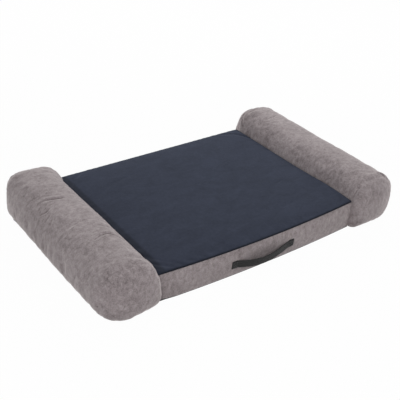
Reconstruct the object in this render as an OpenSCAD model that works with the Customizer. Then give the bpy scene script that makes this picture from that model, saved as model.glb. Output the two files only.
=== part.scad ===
// Foam pet mattress with a stuffed roll at each short end, a sewn zip cover
// and a webbing carrying handle.
// Origin: on the floor under the middle of the mattress. X runs along its
// length, Y from the front (handle) to the back (zip), and Z up.

/* [Mattress] */
// Length of the flat part, from roll to roll
mat_l = 800; // [700:10:900]
// Width of the flat part at its corners
mat_w = 650; // [600:10:690]
// Height of the top seam above the floor
mat_t = 103; // [90:1:120]
// How far the middle of the top stands above its seams
crown_h = 6; // [0:0.5:10]
// How far the front edge swells out in its middle, at the top seam
front_bulge_top = 17; // [4:1:20]
// How far the front edge swells out in its middle, at the floor
front_bulge_base = 13; // [2:1:16]
// How far the front band puffs out between its two seams
band_puff = 2.5; // [0:0.5:3]
// How far the straight back edge lies inside the corner width
back_inset = 4; // [0:1:8]

/* [Cloth and foam] */
// Thickness of the cover cloth
cloth = 2; // [1:0.5:2.5]
// Thickness of the foam's fitted liner and of the rolls' inner cases
liner = 0.8; // [0.6:0.1:1]
// Height at which the soft top foam lies on the firm foam
foam_split = 66; // [40:1:75]

/* [Rolls] */
// Width of a roll's section
roll_w = 200; // [180:5:220]
// Height of a roll's section before its underside is pressed flat
roll_h = 168.5; // [150:0.5:190]
// Length of a roll over its puffed ends
roll_l = 730; // [700:10:800]
// Squareness of the section: 2 is an ellipse, larger is boxier
roll_power = 2.9; // [2.2:0.1:3.4]
// Depth of a puffed end, from its flat nose to the straight tube
end_depth = 76; // [60:1:90]
// Squareness of a puffed end seen from the side
end_power = 3; // [2:0.1:3.5]
// How far the nose of a puffed end leans to the mattress, as a share of half the width
nose_in = 0.55; // [0:0.05:0.6]
// How far the nose of a puffed end sinks, as a share of half the height
nose_down = 0.42; // [0:0.02:0.5]
// Distance from the nose back to the seam of the end panel
end_seam = 45; // [38:1:50]
// Depth of the groove that the end seam draws in
seam_dip = 2; // [0:0.5:3]

/* [Handle] */
// Length of the webbing handle over its stitched ends
handle_l = 256; // [200:2:280]
// Width of the webbing
strap_w = 26; // [20:1:30]
// Thickness of the webbing
strap_t = 1.8; // [1.4:0.1:2]
// Length of each stitched end
strap_end = 22; // [18:1:26]
// Place of the handle's middle along the front
handle_x = -7; // [-30:1:30]
// Height of the handle's line of sewing above the floor
handle_z = 45; // [40:1:55]
// How far the middle of the strap bows out from the band
strap_bow = 16; // [14:1:18]
// How far the middle of the strap hangs below its ends
strap_sag = 10; // [4:1:12]
// How far the strap's lower edge turns out in the middle, in degrees
strap_tilt = 21; // [0:1:24]

/* [Zips] */
// Width of the opening in the cover that a zip closes
zip_gap = 10; // [10:0.5:12]
// Height of the main zip on the back of the mattress
zip_z = 52; // [40:1:60]
// Length of the main zip's chain
zip_l = 680; // [500:10:700]
// Length of a roll zip's chain
roll_zip_l = 560; // [400:10:570]
// How far below the horizontal a roll zip faces, in degrees
roll_zip_angle = 46; // [40:1:60]
// Width of the zip chain
chain_w = 5; // [4:0.5:5.5]
// Distance from one moulded tooth to the next
chain_pitch = 5; // [4:0.5:10]
// Length of the zip pull from its pivot to its tip
pull_l = 18; // [14:1:20]

/* [Hidden] */

navy = "#3d4350";
taupe = "#8f8685";
black_cloth = "#262628";
webbing = "#35373a";
liner_cloth = "#e4e2da";
soft_foam = "#e9e4c8";
firm_foam = "#c9ccd2";
fibre = "#f2f1ee";
nylon = "#2c2d31";
zip_metal = "#4a4b50";

gap = 0.4;                          // air between layers that lie on each other
half_l = mat_l / 2 - 0.3;           // the mattress cover stops just short of the rolls
back_y = mat_w / 2 - back_inset;
base_t = 2;                         // thickness of the black base cloth
band_top = mat_t - cloth;           // the bands end under the top panel

// Points of a grid, and the faces of a sheet with a front and a back surface
nx = 16;                            // grid steps along the mattress
ny = 10;                            // grid steps across it
nz = 5;                             // grid steps up the front band

// Index of the point in row i and column j, counted round when j passes the last column
function at(i, j, cols) = i * cols + j % cols;

// Two triangles of a four-cornered face
function quad(a, b, c, d) = [[a, b, c], [a, c, d]];

// Faces between the rows of one surface, facing out or turned round
function skin(rows, cols, last, first, out) = [
    for (i = [0 : rows - 2], j = [0 : last])
        each out
            ? quad(first + at(i, j, cols), first + at(i, j + 1, cols),
                   first + at(i + 1, j + 1, cols), first + at(i + 1, j, cols))
            : quad(first + at(i, j, cols), first + at(i + 1, j, cols),
                   first + at(i + 1, j + 1, cols), first + at(i, j + 1, cols))
];

// Narrow faces that join the two surfaces along their first row
function rim(cols, last, n) = [
    for (j = [0 : last])
        each quad(at(0, j, cols), n + at(0, j, cols), n + at(0, j + 1, cols), at(0, j + 1, cols))
];

// A sheet from two grids of points: outside surface first, then inside surface
module sheet(outside, inside) {
    rows = len(outside);
    cols = len(outside[0]);
    n = rows * cols;
    far = n - cols;
    points = [for (grid = [outside, inside], row = grid) each row];
    far_rim = [
        for (j = [0 : cols - 2])
            each quad(far + j, far + j + 1, n + far + j + 1, n + far + j)
    ];
    side_rims = [
        for (i = [0 : rows - 2])
            let (a = i * cols, b = a + cols, c = a + cols - 1, d = b + cols - 1)
            each concat(quad(a, b, n + b, n + a), quad(c, n + c, n + d, d))
    ];
    faces = concat(
        skin(rows, cols, cols - 2, 0, true),
        skin(rows, cols, cols - 2, n, false),
        rim(cols, cols - 2, n), far_rim, side_rims
    );
    polyhedron(points, faces);
}

// A cup from two stacks of rings, each closed at its far end by one point
module cup(outside, inside, outside_tip, inside_tip) {
    rows = len(outside);
    cols = len(outside[0]);
    n = rows * cols;
    far = n - cols;
    points = concat([for (grid = [outside, inside], row = grid) each row], [outside_tip, inside_tip]);
    tips = [
        for (j = [0 : cols - 1])
            each [[far + j, far + (j + 1) % cols, 2 * n],
                  [n + far + (j + 1) % cols, n + far + j, 2 * n + 1]]
    ];
    faces = concat(
        skin(rows, cols, cols - 1, 0, true),
        skin(rows, cols, cols - 1, n, false),
        rim(cols, cols - 1, n), tips
    );
    polyhedron(points, faces);
}

// A solid from one stack of rings, closed at both ends by a point
module bolster(rings, near_tip, far_tip) {
    rows = len(rings);
    cols = len(rings[0]);
    n = rows * cols;
    far = n - cols;
    points = concat([for (row = rings) each row], [near_tip, far_tip]);
    tips = [
        for (j = [0 : cols - 1])
            each [[(j + 1) % cols, j, n],
                  [far + j, far + (j + 1) % cols, n + 1]]
    ];
    polyhedron(points, concat(skin(rows, cols, cols - 1, 0, true), tips));
}

// Mattress

// Grid places from -1 to 1, closer together near the edges
function spaced(i, n) = sin(90 * (2 * i / n - 1));

// Height of the crown at a place of the top, both from -1 to 1
function crown(u, v) = crown_h * (1 - pow(u, 4)) * (1 - pow(v, 4));

// A place in plan, drawn in by the given insets from the ends, front and back
function plan(u, v, bulge, ends, front, back) =
    let (
        front_y = -(mat_w / 2 + bulge * (1 - u * u)) + front,
        rear_y = back_y - back
    )
    [u * (half_l - ends), front_y + (rear_y - front_y) * (v + 1) / 2];

// A crowned surface over that plan, whose edge is at height z
function crowned(z, bulge, ends, front, back, rise = 1) = [
    for (i = [0 : nx]) [
        for (j = [0 : ny])
            let (u = spaced(i, nx), v = spaced(j, ny), p = plan(u, v, bulge, ends, front, back))
            [p.x, p.y, z + rise * crown(u, v)]
    ]
];

// Outside face of the front band at a place along the front and a height
function band_y(x, z) =
    let (
        u = x / half_l,
        t = z / mat_t,
        bulge = front_bulge_base + (front_bulge_top - front_bulge_base) * t
    )
    -(mat_w / 2 + bulge * (1 - u * u) + 4 * band_puff * t * (1 - t) * (1 - pow(u, 8)));

function band_face(inset) = [
    for (i = [0 : nx]) [
        for (j = [0 : nz])
            let (x = half_l * spaced(i, nx), z = base_t + (band_top - base_t) * j / nz)
            [x, band_y(x, z) + inset, z]
    ]
];

// The navy sleeping surface, crowned over the foam
module top_panel()
    color(navy)
    sheet(crowned(mat_t, front_bulge_top, 0, 0, 0),
          crowned(mat_t - cloth, front_bulge_top, 0, 0, 0));

module front_band()
    color(taupe)
    sheet(band_face(0), band_face(cloth));

// Section of a back band between two heights: flat inside, puffed outside
module back_band(low, high)
    rotate([90, 0, 90])
    linear_extrude(2 * half_l, center = true)
    polygon(concat(
        [[back_y - cloth, high], [back_y - cloth, low]],
        [for (k = [0 : 6]) [back_y + 4 * band_puff * k / 6 * (1 - k / 6), low + (high - low) * k / 6]]
    ));

module back_band_upper() color(taupe) back_band(zip_z + zip_gap / 2, band_top);
module back_band_lower() color(taupe) back_band(base_t, zip_z - zip_gap / 2);

// Outline of the mattress in plan, drawn in by the given insets
module outline(bulge, ends, front, back)
    polygon(concat(
        [for (i = [0 : nx]) plan(spaced(i, nx), -1, bulge, ends, front, back)],
        [plan(1, 1, bulge, ends, front, back), plan(-1, 1, bulge, ends, front, back)]
    ));

// The black cloth that the mattress stands on
module base_panel()
    color(black_cloth)
    linear_extrude(base_t)
    outline(front_bulge_base, 0, 0, 0);

// Cloth wall between the mattress and a roll
module right_partition()
    color(taupe)
    translate([half_l - cloth, -mat_w / 2 + cloth + gap, base_t])
    cube([cloth, mat_w / 2 + back_y - 2 * (cloth + gap), band_top - gap - base_t]);

module left_partition() mirror([1, 0, 0]) right_partition();

// The layers inside the cover. Each one is drawn in from the cover's outline.
liner_in = cloth + gap;
liner_back_in = cloth + 2 * gap + liner;      // also clear of the zip tapes
foam_in = liner_in + liner + gap;
foam_back_in = liner_back_in + liner + gap;
liner_top = mat_t - cloth - gap;
foam_top = liner_top - liner - gap;
liner_low = base_t + 10;                      // the fitted liner's elastic edge

// A block under the crowned top, drawn in from the cover's outline
module foam_block(low, high, ends, front, back)
    sheet(crowned(high, front_bulge_base, ends, front, back),
          crowned(low, front_bulge_base, ends, front, back, 0));

// Waterproof protector drawn over the foam, open below
module foam_liner()
    color(liner_cloth)
    difference() {
        foam_block(liner_low, liner_top, liner_in, liner_in, liner_back_in);
        foam_block(liner_low - 1, liner_top - liner, liner_in + liner, liner_in + liner,
                   liner_back_in + liner);
    }

// Soft upper foam, crowned like the top panel over it
module memory_foam()
    color(soft_foam)
    foam_block(foam_split, foam_top, foam_in, foam_in, foam_back_in);

// Firm lower foam
module support_foam()
    color(firm_foam)
    translate([0, 0, base_t])
    linear_extrude(foam_split - base_t)
    outline(front_bulge_base, foam_in, foam_in, foam_back_in);

// Rolls. Everything is made for the right one, and the left one is its mirror image.
roll_x = mat_l / 2 + roll_w / 2;
press = 0.5;                          // how deep the floor presses the underside flat
roll_z = roll_h / 2 - press;
half_roll = roll_l / 2;
seam_y = half_roll - end_seam;
seam_reach = 14;                      // how far the seam's groove spreads each way
tube_y = half_roll - end_depth;       // the section is constant between -tube_y and tube_y

// Share of the full section at a place along the roll, for a layer that is drawn in
function end_share(y, inset) =
    pow(1 - pow(min(1, max(0, abs(y) - tube_y) / (end_depth - inset)), end_power), 1 / end_power);

// Groove drawn in by the end seam
function groove(y) = seam_dip * max(0, 1 - abs(abs(y) - seam_y) / seam_reach);

// Cosine or sine stretched to the section's squareness
function stretched(w) = sign(w) * pow(abs(w), 2 / roll_power);

// A place on the right roll: y along it, angle t round it from the outer side upwards
function roll_point(y, t, inset) =
    let (
        s = end_share(y, inset),
        x = stretched(cos(t)) * (roll_w / 2 - inset - groove(y)) * s,
        z = stretched(sin(t)) * (roll_h / 2 - inset - groove(y)) * s
    )
    [roll_x + x - nose_in * (1 - s) * roll_w / 2,
     y,
     max(inset, roll_z + z - nose_down * (1 - s) * roll_h / 2)];

// Rows of points along the roll, at equal angles from one angle to another
function roll_rows(places, from, to, steps, inset) = [
    for (y = places)
        [for (j = [0 : steps]) roll_point(y, from + (to - from) * j / steps, inset)]
];

// Closed rings, which leave out the last angle
function roll_rings(places, steps, inset) =
    roll_rows(places, 0, 360 * (steps - 1) / steps, steps - 1, inset);

// Places of the rings between the seam and the nose, for a layer that is drawn in
nose_shares = [0.59, 0.78, 0.91, 0.98];
function nose_places(inset) = [for (f = nose_shares) tube_y + f * (end_depth - inset)];
tube_places = [-seam_y, -seam_y + seam_reach, -tube_y, tube_y, seam_y - seam_reach, seam_y];
cover_steps = 36;                     // points round a cover
core_steps = 18;                      // points round the hidden layers

// Angle of the roll zip, and half the angle that its opening takes
zip_t = atan(pow(tan(roll_zip_angle) * roll_h / roll_w, roll_power / (2 * roll_power - 2)));
section_speed = norm([
    roll_w / roll_power * pow(cos(zip_t), 2 / roll_power - 1) * sin(zip_t),
    roll_h / roll_power * pow(sin(zip_t), 2 / roll_power - 1) * cos(zip_t)
]);
function zip_turn(width) = width / section_speed * 180 / PI;

// The tube of cover cloth, open along the zip
module right_roll_cover()
    color(taupe)
    let (from = -zip_t + zip_turn(zip_gap / 2), to = 360 - zip_t - zip_turn(zip_gap / 2))
    sheet(roll_rows(tube_places, from, to, cover_steps, 0),
          roll_rows(tube_places, from, to, cover_steps, cloth));

// A puffed end panel, with its seam against the tube
module roll_end()
    color(taupe)
    cup(roll_rings(concat([seam_y], nose_places(0)), cover_steps, 0),
        roll_rings(concat([seam_y], nose_places(cloth)), cover_steps, cloth),
        roll_point(half_roll, 0, 0),
        roll_point(half_roll - cloth, 0, cloth));

module right_roll_back_end() roll_end();
module right_roll_front_end() mirror([0, 1, 0]) roll_end();

// Layers inside a roll. The case stays clear of the zip tapes and of the
// creases that the loose cover takes.
tape_in = cloth + gap;
tape_t = 0.8;
cover_slack = 3;                      // air between the tapes and the case
case_in = tape_in + tape_t + cover_slack;
fill_in = case_in + liner + gap;

module case_half() {
    places = [0, tube_y, seam_y - seam_reach, seam_y];
    cup(roll_rings(concat(places, nose_places(case_in)), core_steps, case_in),
        roll_rings(concat(places, nose_places(case_in + liner)), core_steps, case_in + liner),
        roll_point(half_roll - case_in, 0, case_in),
        roll_point(half_roll - case_in - liner, 0, case_in + liner));
}

// Inner case of thin cloth, sewn from two halves
module right_roll_case()
    color(liner_cloth) {
        case_half();
        mirror([0, 1, 0]) case_half();
    }

module right_roll_filling() {
    noses = nose_places(fill_in);
    places = concat([for (k = [len(noses) - 1 : -1 : 0]) -noses[k]], tube_places, noses);
    color(fibre)
    bolster(roll_rings(places, core_steps, fill_in),
            roll_point(-half_roll + fill_in, 0, fill_in),
            roll_point(half_roll - fill_in, 0, fill_in));
}

// Zips. Their own frame has X along the chain, Z out of the cover, and its
// origin on the cover's outside face, in the middle of the opening.
tape_w = 14;                          // width of one tape
tape_split = 0.4;                     // air between the two tapes
chain_low = -tape_in + 0.2;
chain_high = -0.3;
tooth_h = 0.6;
tooth_share = 0.6;                    // share of the pitch that a tooth takes
play = 0.3;                           // air between the chain and the slider
slider_l = 11;
slider_w = 8.4;
slider_leg = 1.9;
roof_t = 1.2;
lug_l = 6;
lug_w = 2;
window_l = 3;                         // opening under the lug, for the pull's bar
window_h = 2.2;
lug_t = 1.2;
pivot_z = roof_t + window_h / 2;
bar_r = 0.75;
arm_in = 1.6;                         // inside faces of the pull's two arms
pull_w = 6;
plate_start = 4.5;                    // where the two arms join
stop_l = 3;
stop_w = 7;

// Moulded chain: a bar whose top is cut into teeth
module chain(length) {
    count = floor(length / chain_pitch);
    teeth = [
        for (i = [0 : count - 1])
            let (x = -length / 2 + (i + 0.5 - tooth_share / 2) * chain_pitch)
            each [[x, chain_high - tooth_h], [x, chain_high],
                  [x + tooth_share * chain_pitch, chain_high],
                  [x + tooth_share * chain_pitch, chain_high - tooth_h]]
    ];
    color(nylon)
    rotate([90, 0, 0])
    linear_extrude(chain_w, center = true)
    polygon(concat(
        [[-length / 2, chain_low], [-length / 2, chain_high - tooth_h]],
        teeth,
        [[length / 2, chain_high - tooth_h], [length / 2, chain_low]]
    ));
}

// Stops that keep the slider on the chain
module end_stops(length)
    color(zip_metal)
    for (end = [-1, 1])
        translate([end * (length + stop_l + gap) / 2 - stop_l / 2, -stop_w / 2, chain_low])
        cube([stop_l, stop_w, 0.6 - chain_low]);

// A saddle over the chain with a lug on its roof
module slider()
    color(zip_metal)
    difference() {
        union() {
            translate([-slider_l / 2, -slider_w / 2, -slider_leg])
            cube([slider_l, slider_w, slider_leg + roof_t]);
            translate([-lug_l / 2, -lug_w / 2, roof_t - 0.1])
            cube([lug_l, lug_w, window_h + lug_t + 0.1]);
        }
        translate([-slider_l, -chain_w / 2 - play, -slider_leg - 1])
        cube([2 * slider_l, chain_w + 2 * play, slider_leg + 1]);
        translate([-window_l / 2, -lug_w, roof_t])
        cube([window_l, 2 * lug_w, window_h]);
    }

// A flat pull whose round bar lies under the lug
module pull()
    color(zip_metal)
    translate([0, 0, pivot_z]) {
        rotate([90, 0, 0])
        cylinder(r = bar_r, h = pull_w - 0.6, center = true, $fn = 24);
        for (side = [-1, 1])
            translate([-plate_start - 0.5, side * (arm_in + pull_w / 2 - 0.3) / 2 - 0.55, -bar_r])
            cube([plate_start + 0.5, 1.1, 2 * bar_r]);
        translate([-pull_l + pull_w / 2, -pull_w / 2, -bar_r])
        cube([pull_l - pull_w / 2 - plate_start, pull_w, 2 * bar_r]);
        translate([-pull_l + pull_w / 2, 0, -bar_r])
        cylinder(d = pull_w, h = 2 * bar_r, $fn = 32);
    }

// How far from the middle of a chain the slider's middle stops
function slider_park(length) = length / 2 - slider_l / 2 - 0.5;

// The main zip lies along the back of the mattress
module on_back() translate([0, back_y, zip_z]) rotate([-90, 0, 0]) children();

module zip_tapes()
    color(black_cloth)
    on_back()
    for (side = [-1, 1])
        translate([-zip_l / 2 - 8, side * (tape_w + tape_split) / 2 - tape_w / 2, -tape_in - tape_t])
        cube([zip_l + 16, tape_w, tape_t]);

module zip_chain() on_back() chain(zip_l);
module zip_end_stops() on_back() end_stops(zip_l);
module zip_slider() on_back() translate([slider_park(zip_l), 0, 0]) slider();
module zip_pull() on_back() translate([slider_park(zip_l), 0, 0]) pull();

// A roll zip lies along the lower outer side of its roll
module on_roll()
    translate(roll_point(0, -zip_t, 0))
    rotate([0, 90 + roll_zip_angle, 0])
    rotate([0, 0, 90])
    children();

// The tapes bend with the section, behind the edges of the opening
module right_zip_tapes()
    color(black_cloth)
    for (side = [-1, 1])
        let (
            a = side * zip_turn(tape_split / 2),
            b = side * zip_turn(tape_w),
            from = -zip_t + min(a, b),
            to = -zip_t + max(a, b)
        )
        sheet(roll_rows(tube_places, from, to, 4, tape_in),
              roll_rows(tube_places, from, to, 4, tape_in + tape_t));

module right_zip_chain() on_roll() chain(roll_zip_l);
module right_zip_end_stops() on_roll() end_stops(roll_zip_l);
module right_zip_slider() on_roll() translate([slider_park(roll_zip_l), 0, 0]) slider();
module right_zip_pull() on_roll() translate([slider_park(roll_zip_l), 0, 0]) pull();

// The left roll
module left_roll_cover() mirror([1, 0, 0]) right_roll_cover();
module left_roll_front_end() mirror([1, 0, 0]) right_roll_front_end();
module left_roll_back_end() mirror([1, 0, 0]) right_roll_back_end();
module left_roll_case() mirror([1, 0, 0]) right_roll_case();
module left_roll_filling() mirror([1, 0, 0]) right_roll_filling();
module left_zip_tapes() mirror([1, 0, 0]) right_zip_tapes();
module left_zip_chain() mirror([1, 0, 0]) right_zip_chain();
module left_zip_end_stops() mirror([1, 0, 0]) right_zip_end_stops();
module left_zip_slider() mirror([1, 0, 0]) right_zip_slider();
module left_zip_pull() mirror([1, 0, 0]) right_zip_pull();

// Carrying handle. Its webbing lies on the band at both stitched ends and
// bows out and hangs down between them.
free_half = handle_l / 2 - strap_end;     // half the webbing between the stitched ends
swing_half = 40;                          // half the length that swings without twisting
end_t = 2 * strap_t;                      // the end is folded under, so it is double
strap_off = gap + end_t - strap_t / 2;    // webbing's middle above the band at the ends
stitch_l = 2.6;
stitch_t = 0.6;
stitch_in = 3;                            // from the edge of the end to the stitching

// Share of the full bow at a place along the strap, from -1 to 1
function bow(u) = pow(1 - u * u, 2);

// A point of the webbing: share along it, share across its width, share through it
function strap_point(u, across, through) =
    let (
        x = handle_x + u * free_half,
        f = bow(u),
        tilt = strap_tilt * f,
        y = band_y(x, handle_z) - strap_off - (strap_bow - strap_off) * f,
        z = handle_z - strap_sag * f,
        w = across * strap_w / 2,
        t = through * strap_t / 2
    )
    [x, y + w * sin(tilt) - t * cos(tilt), z + w * cos(tilt) + t * sin(tilt)];

function strap_face(from, to, steps, through) = [
    for (i = [0 : steps])
        let (u = from + (to - from) * i / steps)
        [strap_point(u, -1, through), strap_point(u, 0, through), strap_point(u, 1, through)]
];

module strap_run(from, to, steps)
    color(webbing)
    sheet(strap_face(from, to, steps, 1), strap_face(from, to, steps, -1));

swing_u = swing_half / free_half;
leg_u = (swing_half + gap) / free_half;
end_u = 1 - gap / free_half;

module handle_strap() strap_run(-swing_u, swing_u, 10);
module handle_left_leg() strap_run(-end_u, -leg_u, 8);
module handle_right_leg() strap_run(leg_u, end_u, 8);

// Places something flat on the band at one end of the handle. Its own frame
// has X along the band, Z up and -Y out of it.
module on_end(side) {
    x = handle_x + side * (handle_l - strap_end) / 2;
    lean = atan2(band_y(x, handle_z + 1) - band_y(x, handle_z - 1), 2);
    turn = atan2(band_y(x + 1, handle_z) - band_y(x - 1, handle_z), 2);
    translate([x, band_y(x, handle_z), handle_z])
    rotate([-lean, 0, turn])
    children();
}

module strap_end_pad(side)
    color(webbing)
    on_end(side)
    translate([-strap_end / 2, -gap - end_t, -strap_w / 2])
    cube([strap_end, end_t, strap_w]);

module handle_left_end() strap_end_pad(-1);
module handle_right_end() strap_end_pad(1);

// One row of stitches between two places on an end, given as [along, up]
module stitch_row(a, b, count)
    for (k = [0 : count - 1])
        let (p = a + (b - a) * (k + 0.5) / count, turn = atan2(b[1] - a[1], b[0] - a[0]))
        translate([p[0], -gap - end_t - stitch_t / 2, p[1]])
        rotate([0, -turn, 0])
        cube([stitch_l, stitch_t, stitch_t], center = true);

// A sewn box with a cross in it on each end of the handle
module handle_stitching() {
    w = strap_end / 2 - stitch_in;
    h = strap_w / 2 - stitch_in;
    color("#4b4d50")
    for (side = [-1, 1])
        on_end(side) {
            stitch_row([-w, -h], [w, -h], 4);
            stitch_row([-w, h], [w, h], 4);
            stitch_row([-w, -h], [-w, h], 5);
            stitch_row([w, -h], [w, h], 5);
            stitch_row([-w + 1.5, -h + 2], [w - 1.5, h - 2], 4);
        }
}

top_panel();
front_band();
back_band_upper();
back_band_lower();
base_panel();
left_partition();
right_partition();
foam_liner();
memory_foam();
support_foam();
zip_tapes();
zip_chain();
zip_end_stops();
zip_slider();
zip_pull();
handle_left_end();
handle_right_end();
handle_left_leg();
handle_right_leg();
handle_strap();
handle_stitching();
left_roll_cover();
left_roll_front_end();
left_roll_back_end();
left_roll_case();
left_roll_filling();
left_zip_tapes();
left_zip_chain();
left_zip_end_stops();
left_zip_slider();
left_zip_pull();
right_roll_cover();
right_roll_front_end();
right_roll_back_end();
right_roll_case();
right_roll_filling();
right_zip_tapes();
right_zip_chain();
right_zip_end_stops();
right_zip_slider();
right_zip_pull();
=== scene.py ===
# A foam pet mattress with a stuffed roll at each short end and a webbing handle in front.
# Metres. The origin is on the floor under the middle, X runs to the right roll, Y to the
# back and Z up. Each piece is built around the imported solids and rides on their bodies.
import math

import bpy
import numpy as np
from mathutils import Matrix, Vector
from mathutils.bvhtree import BVHTree


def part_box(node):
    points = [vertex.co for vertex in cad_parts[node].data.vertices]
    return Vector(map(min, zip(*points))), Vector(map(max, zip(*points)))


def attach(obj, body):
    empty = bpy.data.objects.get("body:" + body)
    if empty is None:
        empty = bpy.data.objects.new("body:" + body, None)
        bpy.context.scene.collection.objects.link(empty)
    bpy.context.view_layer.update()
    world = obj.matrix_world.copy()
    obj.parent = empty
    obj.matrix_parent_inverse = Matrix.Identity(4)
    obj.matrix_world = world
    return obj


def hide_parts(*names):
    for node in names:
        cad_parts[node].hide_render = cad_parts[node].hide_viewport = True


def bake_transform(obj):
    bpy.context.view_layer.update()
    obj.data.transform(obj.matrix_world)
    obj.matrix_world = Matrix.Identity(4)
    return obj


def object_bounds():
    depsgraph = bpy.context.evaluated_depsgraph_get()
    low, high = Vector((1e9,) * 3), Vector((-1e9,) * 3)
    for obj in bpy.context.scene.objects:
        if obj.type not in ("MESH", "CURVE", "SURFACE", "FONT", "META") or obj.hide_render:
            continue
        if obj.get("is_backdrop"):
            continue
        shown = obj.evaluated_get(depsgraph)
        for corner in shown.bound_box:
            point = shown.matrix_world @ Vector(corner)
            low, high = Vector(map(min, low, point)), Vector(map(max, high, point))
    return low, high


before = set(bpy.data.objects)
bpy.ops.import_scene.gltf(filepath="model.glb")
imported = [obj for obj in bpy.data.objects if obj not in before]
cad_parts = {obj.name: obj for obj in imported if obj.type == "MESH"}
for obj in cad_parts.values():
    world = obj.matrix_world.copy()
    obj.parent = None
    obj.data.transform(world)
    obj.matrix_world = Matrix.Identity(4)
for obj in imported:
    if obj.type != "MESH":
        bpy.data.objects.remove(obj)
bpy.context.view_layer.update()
scene = bpy.context.scene
view_layer = bpy.context.view_layer


# Camera. It stands high over the front left corner with a long lens, tilted a little.
# Its place was worked out from the seams and outline of the photographed mattress.
camera_place = Vector((-1.3612, -1.7232, 1.3999))
camera_turn = math.radians(37.21)  # from straight back towards the right
camera_drop = math.radians(31.51)
camera_tilt = math.radians(3.61)
bpy.ops.object.camera_add(location=camera_place)
camera = bpy.context.object
camera.name = "photo_camera"
camera.data.sensor_width = 36
camera.data.lens = 66.25
camera.data.shift_x = 0.0241
camera.data.shift_y = 0.0021
camera.rotation_euler = (
    Matrix.Rotation(-camera_turn, 3, "Z")
    @ Matrix.Rotation(math.pi / 2 - camera_drop, 3, "X")
    @ Matrix.Rotation(camera_tilt, 3, "Z")
).to_euler()
scene.camera = camera


# Floor and light. A white studio floor with soft lights round it. The strongest stand behind
# and to the right, and at the front left, so that the pile of the velour shows its tone.
def srgb(code):
    """A colour written as sRGB hex, in linear light."""
    values = [int(code[i : i + 2], 16) / 255 for i in (1, 3, 5)]
    return [v / 12.92 if v <= 0.04045 else ((v + 0.055) / 1.055) ** 2.4 for v in values] + [1]


def add(tree, kind, links=None, stops=(), **settings):
    """Adds a node, gives it its settings, and links or sets the inputs named in links. A node
    among these stands for its first output. stops are the places and colours of a ramp."""
    node = tree.nodes.new("ShaderNode" + kind)
    for name, value in settings.items():
        setattr(node, name, value)
    for number, (position, code) in enumerate(stops):
        node.color_ramp.elements[number].position = position
        node.color_ramp.elements[number].color = srgb(code)
    for name, value in (links or {}).items():
        socket = node.inputs[name]
        if isinstance(value, bpy.types.Node):
            value = value.outputs[0]
        if isinstance(value, bpy.types.NodeSocket):
            tree.links.new(value, socket)
        else:
            socket.default_value = value
    return node


def new_material(name):
    material = bpy.data.materials.new(name)
    material.use_nodes = True
    material.node_tree.nodes.clear()
    return material, material.node_tree


def only(*objects):
    """Selects just these objects, and works on the first."""
    bpy.ops.object.select_all(action="DESELECT")
    for o in objects:
        o.select_set(True)
    view_layer.objects.active = objects[0]


def made(primitive, **settings):
    """Adds a primitive, with nothing else selected."""
    bpy.ops.object.select_all(action="DESELECT")
    primitive(**settings)
    return bpy.context.object


def seen_directly(tree):
    """1 where the camera, a reflection or a clear surface looks at this, and 0 for its light."""
    path = add(tree, "LightPath")
    mirrored = add(tree, "Math", {0: path.outputs["Is Camera Ray"], 1: path.outputs["Is Glossy Ray"]},
                   operation="MAXIMUM")
    return add(tree, "Math", {0: mirrored, 1: path.outputs["Is Transmission Ray"]}, operation="MAXIMUM")


floor = made(bpy.ops.mesh.primitive_plane_add, size=16, location=(0, 0, -0.0004))
floor.name = "studio_floor"
# Matt white paint, just under the mattress. Seen directly it is lifted towards white, which
# leaves a pale shadow.
paint, tree = new_material("white_studio_paint")
matt = add(tree, "BsdfDiffuse", {"Color": srgb("#f4f4f4"), "Roughness": 1})
white = add(tree, "Emission", {"Color": srgb("#ffffff"), "Strength": 1})
lift = add(tree, "Math", {0: seen_directly(tree), 1: 0.97}, operation="MULTIPLY")
both = add(tree, "MixShader", {0: lift, 1: matt, 2: white})
add(tree, "OutputMaterial", {"Surface": both})
floor.data.materials.append(paint)
floor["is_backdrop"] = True

room = bpy.data.worlds.new("white_studio")
room.use_nodes = True
tree = room.node_tree
tree.nodes.clear()
around = add(tree, "Background", {"Color": srgb("#f4f4f6"), "Strength": 0.36})
backdrop = add(tree, "Background", {"Color": srgb("#ffffff"), "Strength": 1})
both = add(tree, "MixShader", {0: seen_directly(tree), 1: around, 2: backdrop})
add(tree, "OutputWorld", {"Surface": both})
scene.world = room

for name, place, size, power in (
    ("soft_light_right_back", (1.9, 1.2, 2.2), 1.4, 30),
    ("soft_light_back", (0.3, 2.6, 1.9), 1.4, 20),
    ("soft_light_front_left", (-1.8, -2.2, 1.6), 1.4, 28),
    ("soft_light_front_right", (2.0, -2.2, 1.6), 1.4, 12),
):
    bpy.ops.object.light_add(type="AREA", location=place)
    light = bpy.context.object
    light.name = name
    light.data.size = size
    light.data.energy = power
    light.rotation_euler = (-Vector(place)).to_track_quat("-Z", "Y").to_euler()
scene.view_settings.view_transform = "Standard"


# Rolls. Each is a tube of short-pile velour stuffed with fibre, with a puffed panel sewn
# into either end. The tube is pressed flat on the floor and against the mattress.
lo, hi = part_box("right_roll_cover")
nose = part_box("right_roll_back_end")[1].y  # how far the puffed ends reach
roll_x = (lo.x + hi.x) / 2
half_w = (hi.x - lo.x) / 2
press = 0.0005  # how deep the floor presses the underside
half_h = (hi.z + press) / 2
roll_z = half_h - press
seam_y = hi.y  # where the end panels are sewn on
end_depth = 0.076  # length of the rounding at each end
tube_y = nose - end_depth  # the section is constant between -tube_y and tube_y
section_power = 2.9  # 2 is an ellipse, larger is boxier
end_power = 3  # the same, for the rounding of the ends
lean_in = 0.55  # the nose leans to the mattress by this share of the half width
lean_down = 0.42  # and to the floor by this share of the half height
zip_turn = math.radians(-42.02)  # place of the zip round the section
zip_angle = math.radians(-43.5)  # the same place, as the direction from the middle
pile_t = 0.0014  # the velour with its backing, when the filling stretches it


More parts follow.
